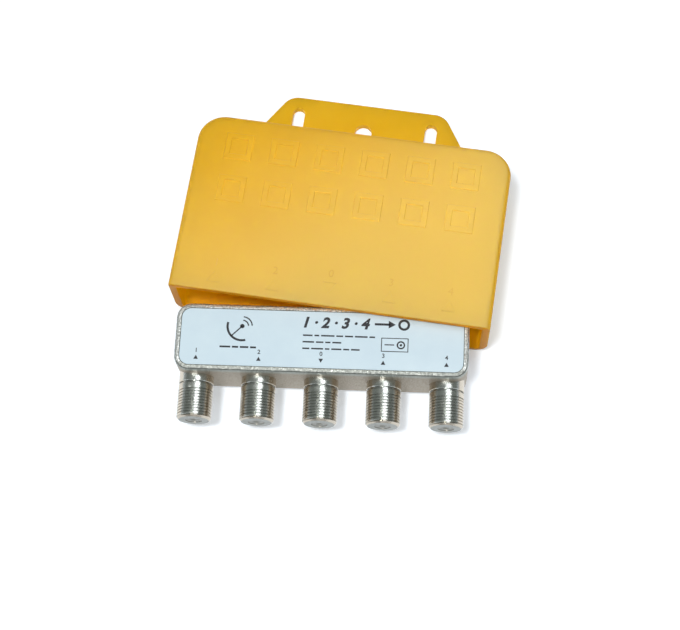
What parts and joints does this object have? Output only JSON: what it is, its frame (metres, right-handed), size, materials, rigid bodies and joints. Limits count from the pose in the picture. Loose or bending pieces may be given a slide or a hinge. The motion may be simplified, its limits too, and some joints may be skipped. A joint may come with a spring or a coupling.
{
  "type": "satellite switch",
  "caption": "Outdoor coaxial antenna switch, a cast metal box with threaded ports drawn out of its plastic rain hood.",
  "frame": {"origin": "centre of the screw hole in the hood's fixing tab, on the hood's back plane", "axes": "+X across the hood, to the right as seen from the front; +Y from the hood's open mouth to the tab; +Z from the back plane through the front panel"},
  "size_m": [0.088, 0.1035, 0.0216],
  "materials": {
    "hood_plastic": "moulded yellow polypropylene, satin",
    "cast_zinc": "die-cast zinc, rough with a dull nickel plating",
    "nickel": "nickel plate on turned brass",
    "lid_sheet": "pressed tinplate",
    "label_film": "pale blue printed film, satin",
    "insulator_plastic": "natural polyethylene",
    "contact_bronze": "spring bronze, tinned",
    "board": "glass-epoxy board with green solder mask",
    "chip_resin": "black moulding resin",
    "can_aluminium": "drawn aluminium can",
    "ferrite": "ferrite with a copper winding",
    "chip_ceramic": "multilayer ceramic",
    "resistor_ceramic": "thick film on alumina"
  },
  "bodies": {
    "cover": {"weather_cover": "hood_plastic"},
    "switch": {"switch_housing": "cast_zinc", "rear_lid": "lid_sheet", "front_label": "label_film", "circuit_board": "board", "controller_chip": "chip_resin", "voltage_regulator": "chip_resin", "smoothing_capacitor": "can_aluminium", "port_chokes": "ferrite", "switching_diodes": "chip_resin", "switching_transistors": "chip_resin", "chip_capacitors": "chip_ceramic", "chip_resistors": "resistor_ceramic", "port_barrel_1": "nickel", "port_insulator_1": "insulator_plastic", "port_contact_1": "contact_bronze", "port_barrel_2": "nickel", "port_insulator_2": "insulator_plastic", "port_contact_2": "contact_bronze", "port_barrel_receiver": "nickel", "port_insulator_receiver": "insulator_plastic", "port_contact_receiver": "contact_bronze", "port_barrel_3": "nickel", "port_insulator_3": "insulator_plastic", "port_contact_3": "contact_bronze", "port_barrel_4": "nickel", "port_insulator_4": "insulator_plastic", "port_contact_4": "contact_bronze"}
  },
  "joints": [
    {"name": "switch_slide", "type": "slide", "parent": "cover", "child": "switch", "axis": [0, 1, 0], "range_m": [-0.025, 0.0444]}
  ]
}
